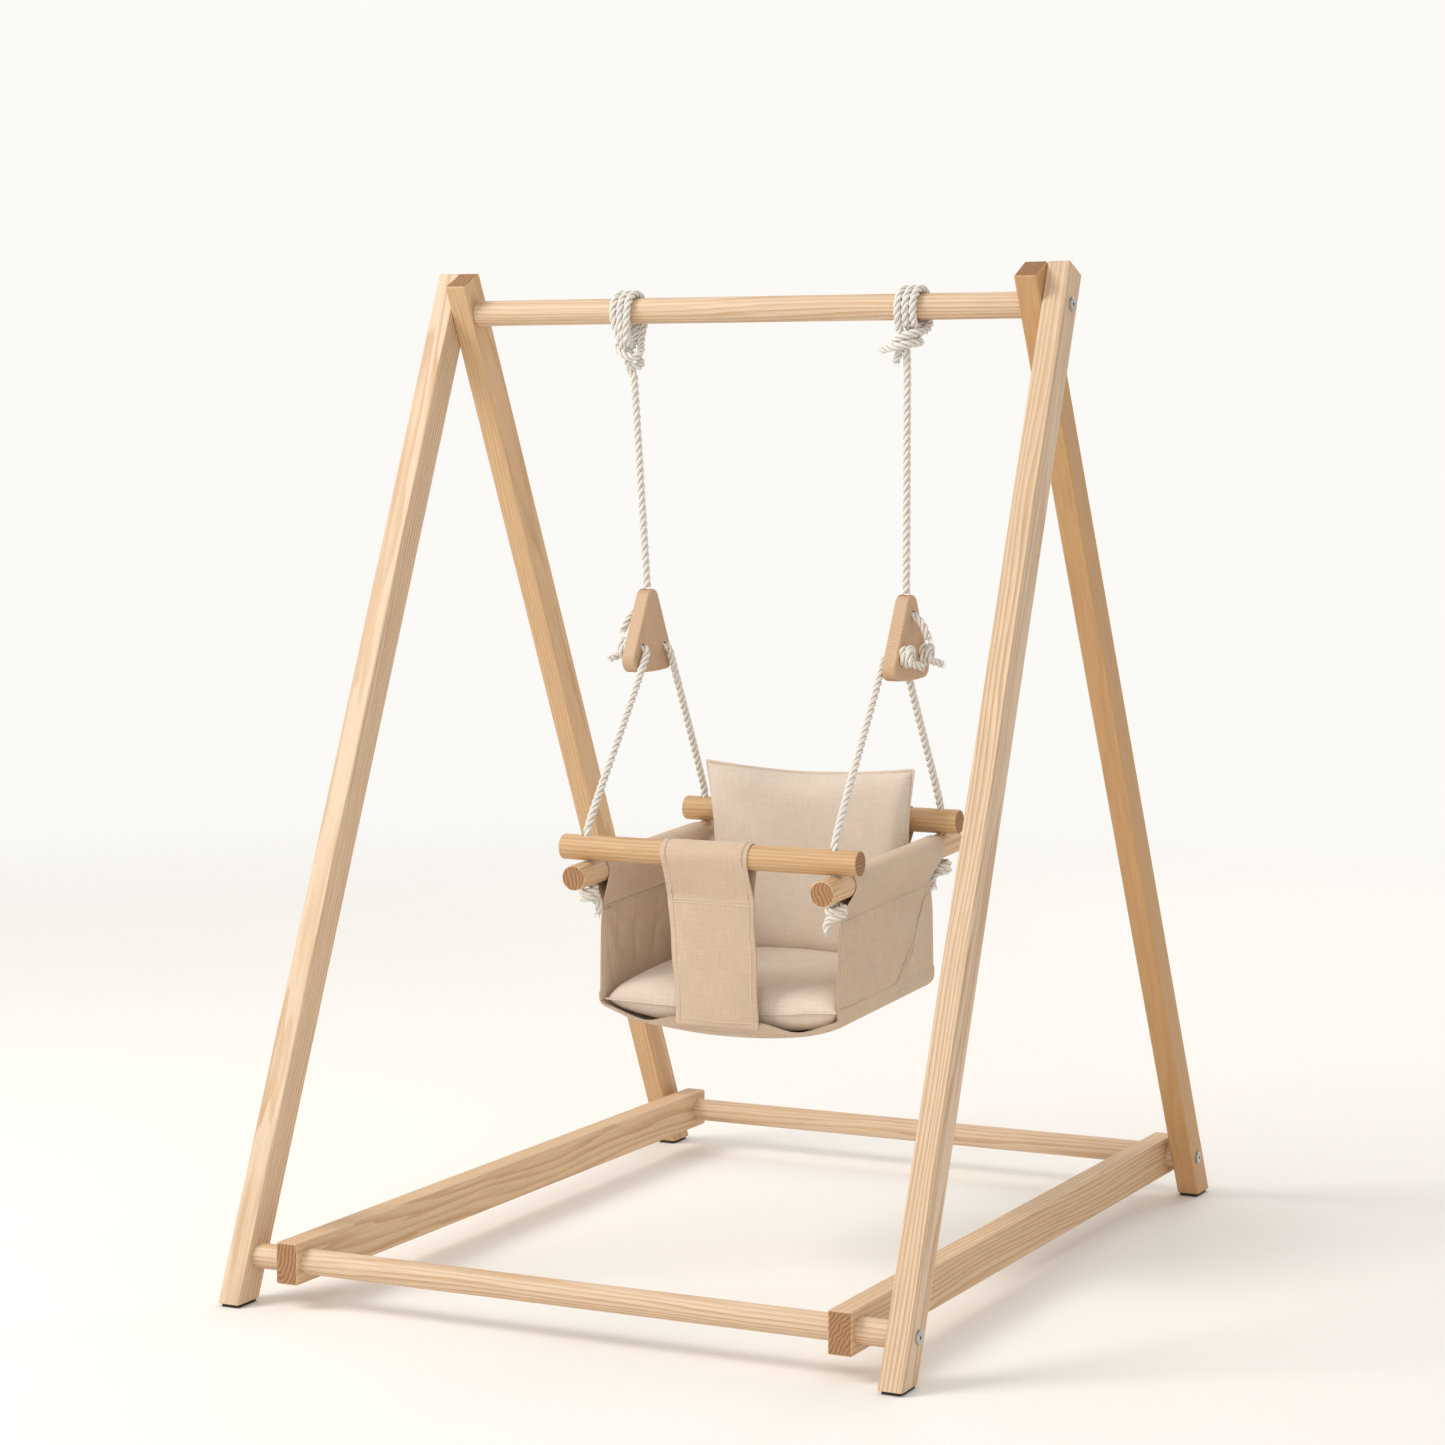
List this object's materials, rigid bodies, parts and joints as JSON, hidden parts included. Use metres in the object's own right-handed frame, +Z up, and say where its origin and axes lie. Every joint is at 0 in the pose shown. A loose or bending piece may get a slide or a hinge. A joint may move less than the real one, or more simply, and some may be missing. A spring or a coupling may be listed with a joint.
{
  "type": "baby swing",
  "caption": "Pine A-frame stand with a canvas bucket seat hung on two cotton ropes; the seat swings, tips and has a lifting front bar.",
  "frame": {"origin": "on the floor, under the middle of the stand's box", "axes": "+Z up, +Y towards the back, +X to the right seen from the front; the legs reach furthest along Z, and the stand is narrowest along X"},
  "size_m": [0.8328, 1.0541, 1.1579],
  "materials": {
    "pine": "satin",
    "plate_wood": "satin",
    "cotton_rope": "matte",
    "canvas": "matte",
    "cushion_cover": "matte",
    "bolt_steel": "satin",
    "insert_brass": "satin",
    "foot_rubber": "matte"
  },
  "bodies": {
    "frame": {"front_leg_left": "pine", "foot_pad_front_left": "foot_rubber", "rear_leg_left": "pine", "foot_pad_rear_left": "foot_rubber", "side_rail_left": "pine", "front_leg_right": "pine", "foot_pad_front_right": "foot_rubber", "rear_leg_right": "pine", "foot_pad_rear_right": "foot_rubber", "side_rail_right": "pine", "top_bar": "pine", "front_floor_bar": "pine", "rear_floor_bar": "pine", "top_bolts": "bolt_steel", "floor_bolts": "bolt_steel", "insert_nuts": "insert_brass"},
    "left_rope": {"hanging_rope_left": "cotton_rope", "rope_hitch_left": "cotton_rope"},
    "right_rope": {"hanging_rope_right": "cotton_rope", "rope_hitch_right": "cotton_rope"},
    "seat": {"plate_left": "plate_wood", "rope_tail_left": "cotton_rope", "side_bar_left": "pine", "canvas_side_left": "canvas", "seat_rope_front_left": "cotton_rope", "seat_rope_rear_left": "cotton_rope", "plate_right": "plate_wood", "rope_tail_right": "cotton_rope", "side_bar_right": "pine", "canvas_side_right": "canvas", "seat_rope_front_right": "cotton_rope", "seat_rope_rear_right": "cotton_rope", "rear_bar": "pine", "canvas_back": "canvas", "canvas_floor": "canvas", "crotch_strap": "canvas", "seat_cushion": "cushion_cover", "back_cushion": "cushion_cover"},
    "front_bar": {"front_bar": "pine"}
  },
  "joints": [
    {"name": "left_rope_swing", "type": "hinge", "parent": "frame", "child": "left_rope", "pos_m": [-0.146, -0.046, 1.11], "axis": [1, 0, 0], "range_deg": [-40, 40]},
    {"name": "right_rope_swing", "type": "hinge", "parent": "frame", "child": "right_rope", "pos_m": [0.208, -0.046, 1.11], "axis": [1, 0, 0], "range_deg": [-40, 40]},
    {"name": "seat_pitch", "type": "hinge", "parent": "left_rope", "child": "seat", "pos_m": [-0.124, -0.046, 0.787], "axis": [1, 0, 0], "range_deg": [-20, 20]},
    {"name": "front_bar_lift", "type": "slide", "parent": "seat", "child": "front_bar", "axis": [0, -0.0523, 0.9986], "range_m": [0, 0.03], "deforming": ["crotch_strap", "seat_rope_front_left", "seat_rope_front_right"]}
  ],
  "couplings": [
    {"joint": "right_rope_swing", "follows": "left_rope_swing", "ratio": 1}
  ]
}
